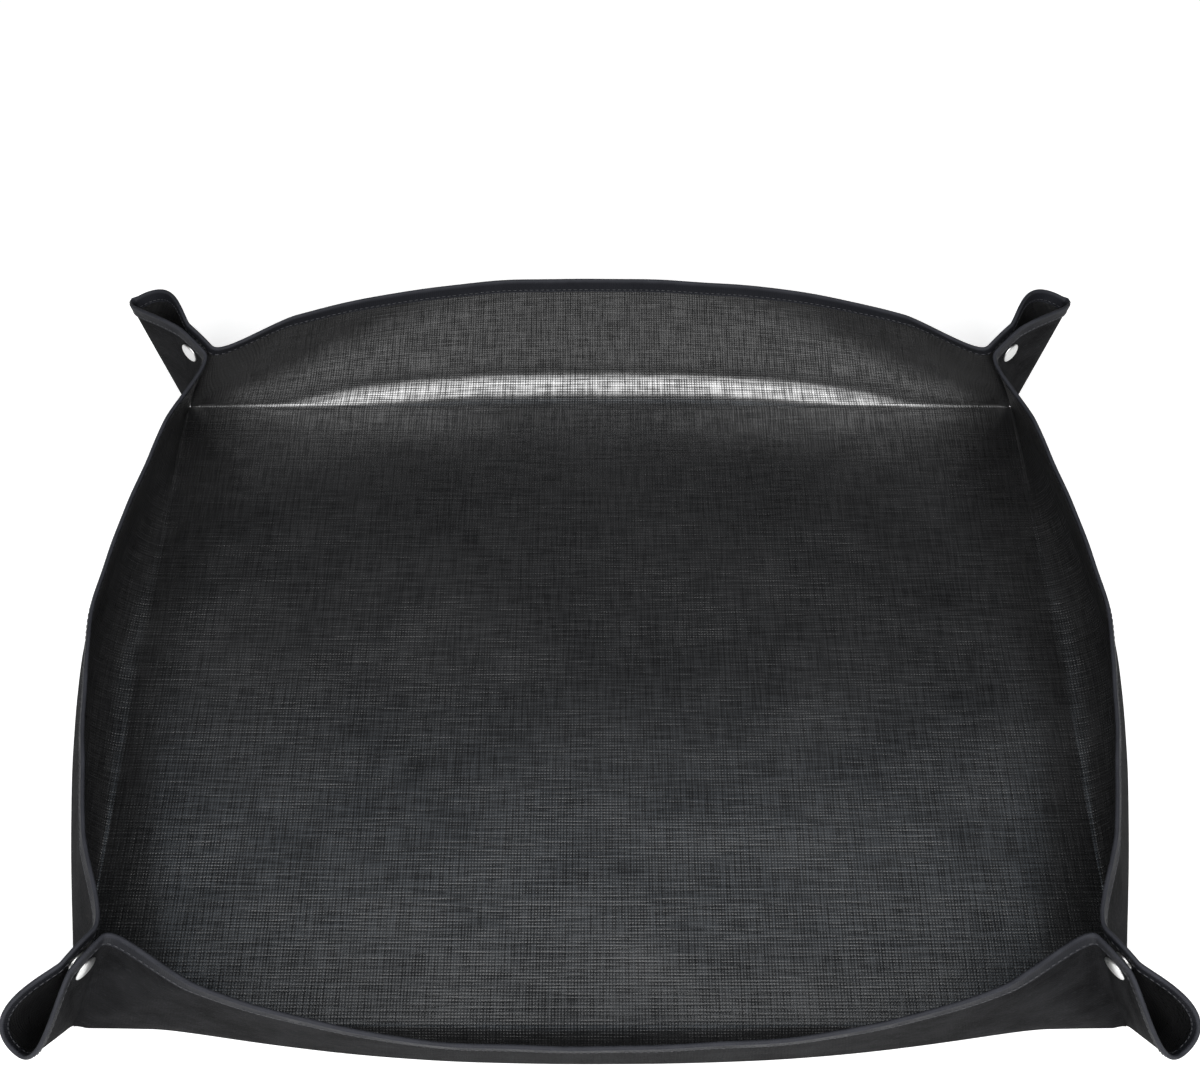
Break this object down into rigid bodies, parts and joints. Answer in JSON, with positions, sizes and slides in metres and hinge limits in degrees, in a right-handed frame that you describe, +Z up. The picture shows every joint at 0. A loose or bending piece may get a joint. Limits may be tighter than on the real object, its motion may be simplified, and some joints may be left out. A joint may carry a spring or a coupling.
{
  "type": "repotting mat",
  "caption": "Shallow tray of coated woven sheet with bowed walls, bound rim and corners pinched into looped ears by snap fasteners; it opens into a flat mat.",
  "frame": {"origin": "centre of the floor's underside, on the table", "axes": "+X along the long side to the right, -Y towards the user, +Z up out of the tray"},
  "size_m": [0.6014, 0.4776, 0.0953],
  "materials": {
    "coated_cloth": "black coated weave, glossy inside, matte outside",
    "binding_tape": "matte woven tape, sewn through",
    "snap_metal": "polished",
    "spring_wire": "drawn wire"
  },
  "bodies": {
    "base": {"floor_panel": "coated_cloth"},
    "front_wall": {"front_wall_panel": "coated_cloth", "front_wall_binding": "binding_tape"},
    "rear_wall": {"rear_wall_panel": "coated_cloth", "rear_wall_binding": "binding_tape"},
    "left_wall": {"left_wall_panel": "coated_cloth", "left_wall_binding": "binding_tape"},
    "right_wall": {"right_wall_panel": "coated_cloth", "right_wall_binding": "binding_tape"},
    "front_left_front_leaf": {"front_left_front_leaf": "coated_cloth", "front_left_front_leaf_binding": "binding_tape", "front_left_snap_cap": "snap_metal", "front_left_snap_socket": "snap_metal", "front_left_snap_spring": "spring_wire"},
    "front_left_left_leaf": {"front_left_left_leaf": "coated_cloth", "front_left_left_leaf_binding": "binding_tape", "front_left_snap_stud": "snap_metal", "front_left_snap_eyelet": "snap_metal"},
    "front_right_front_leaf": {"front_right_front_leaf": "coated_cloth", "front_right_front_leaf_binding": "binding_tape", "front_right_snap_cap": "snap_metal", "front_right_snap_socket": "snap_metal", "front_right_snap_spring": "spring_wire"},
    "front_right_right_leaf": {"front_right_right_leaf": "coated_cloth", "front_right_right_leaf_binding": "binding_tape", "front_right_snap_stud": "snap_metal", "front_right_snap_eyelet": "snap_metal"},
    "rear_left_rear_leaf": {"rear_left_rear_leaf": "coated_cloth", "rear_left_rear_leaf_binding": "binding_tape", "rear_left_snap_stud": "snap_metal", "rear_left_snap_eyelet": "snap_metal"},
    "rear_left_left_leaf": {"rear_left_left_leaf": "coated_cloth", "rear_left_left_leaf_binding": "binding_tape", "rear_left_snap_cap": "snap_metal", "rear_left_snap_socket": "snap_metal", "rear_left_snap_spring": "spring_wire"},
    "rear_right_rear_leaf": {"rear_right_rear_leaf": "coated_cloth", "rear_right_rear_leaf_binding": "binding_tape", "rear_right_snap_stud": "snap_metal", "rear_right_snap_eyelet": "snap_metal"},
    "rear_right_right_leaf": {"rear_right_right_leaf": "coated_cloth", "rear_right_right_leaf_binding": "binding_tape", "rear_right_snap_cap": "snap_metal", "rear_right_snap_socket": "snap_metal", "rear_right_snap_spring": "spring_wire"}
  },
  "joints": [
    {"name": "front_wall_fold", "type": "hinge", "parent": "base", "child": "front_wall", "pos_m": [0, -0.2, 0], "axis": [1, 0, 0], "range_deg": [0, 102.26]},
    {"name": "rear_wall_fold", "type": "hinge", "parent": "base", "child": "rear_wall", "pos_m": [0, 0.2, 0], "axis": [-1, 0, 0], "range_deg": [0, 102.27]},
    {"name": "left_wall_fold", "type": "hinge", "parent": "base", "child": "left_wall", "pos_m": [-0.275, 0, 0], "axis": [0, -1, 0], "range_deg": [0, 110.12]},
    {"name": "right_wall_fold", "type": "hinge", "parent": "base", "child": "right_wall", "pos_m": [0.275, 0, 0], "axis": [0, 1, 0], "range_deg": [0, 110.12]},
    {"name": "front_left_front_leaf_fold", "type": "hinge", "parent": "front_wall", "child": "front_left_front_leaf", "pos_m": [-0.2422, -0.18355, 0.08777], "axis": [-0.3556, -0.1872, -0.9157], "range_deg": [0, 60.06]},
    {"name": "front_left_left_leaf_fold", "type": "hinge", "parent": "left_wall", "child": "front_left_left_leaf", "pos_m": [-0.2462, -0.18085, 0.08865], "axis": [0.3179, 0.2127, 0.924], "range_deg": [0, 34.16]},
    {"name": "front_right_front_leaf_fold", "type": "hinge", "parent": "front_wall", "child": "front_right_front_leaf", "pos_m": [0.2422, -0.18355, 0.08777], "axis": [-0.3556, 0.1872, 0.9157], "range_deg": [0, 60.06]},
    {"name": "front_right_right_leaf_fold", "type": "hinge", "parent": "right_wall", "child": "front_right_right_leaf", "pos_m": [0.2462, -0.18085, 0.08865], "axis": [0.3179, -0.2127, -0.924], "range_deg": [0, 34.16]},
    {"name": "rear_left_rear_leaf_fold", "type": "hinge", "parent": "rear_wall", "child": "rear_left_rear_leaf", "pos_m": [-0.24263, 0.18408, 0.08804], "axis": [0.3515, -0.1822, 0.9183], "range_deg": [0, 42.75]},
    {"name": "rear_left_left_leaf_fold", "type": "hinge", "parent": "left_wall", "child": "rear_left_left_leaf", "pos_m": [-0.24577, 0.18032, 0.08837], "axis": [-0.322, 0.2177, -0.9214], "range_deg": [0, 51.46]},
    {"name": "rear_right_rear_leaf_fold", "type": "hinge", "parent": "rear_wall", "child": "rear_right_rear_leaf", "pos_m": [0.24263, 0.18408, 0.08804], "axis": [0.3515, 0.1822, -0.9183], "range_deg": [0, 42.75]},
    {"name": "rear_right_right_leaf_fold", "type": "hinge", "parent": "right_wall", "child": "rear_right_right_leaf", "pos_m": [0.24577, 0.18032, 0.08837], "axis": [-0.322, -0.2177, 0.9214], "range_deg": [0, 51.46]}
  ],
  "couplings": [
    {"joint": "rear_wall_fold", "follows": "front_wall_fold", "ratio": 1},
    {"joint": "left_wall_fold", "follows": "front_wall_fold", "ratio": 1.0767},
    {"joint": "right_wall_fold", "follows": "front_wall_fold", "ratio": 1.0767},
    {"joint": "front_left_front_leaf_fold", "follows": "front_wall_fold", "ratio": 0.58717},
    {"joint": "front_left_left_leaf_fold", "follows": "front_wall_fold", "ratio": 0.33392},
    {"joint": "front_right_front_leaf_fold", "follows": "front_wall_fold", "ratio": 0.58717},
    {"joint": "front_right_right_leaf_fold", "follows": "front_wall_fold", "ratio": 0.33392},
    {"joint": "rear_left_rear_leaf_fold", "follows": "front_wall_fold", "ratio": 0.41796},
    {"joint": "rear_left_left_leaf_fold", "follows": "front_wall_fold", "ratio": 0.50313},
    {"joint": "rear_right_rear_leaf_fold", "follows": "front_wall_fold", "ratio": 0.41796},
    {"joint": "rear_right_right_leaf_fold", "follows": "front_wall_fold", "ratio": 0.50313}
  ]
}
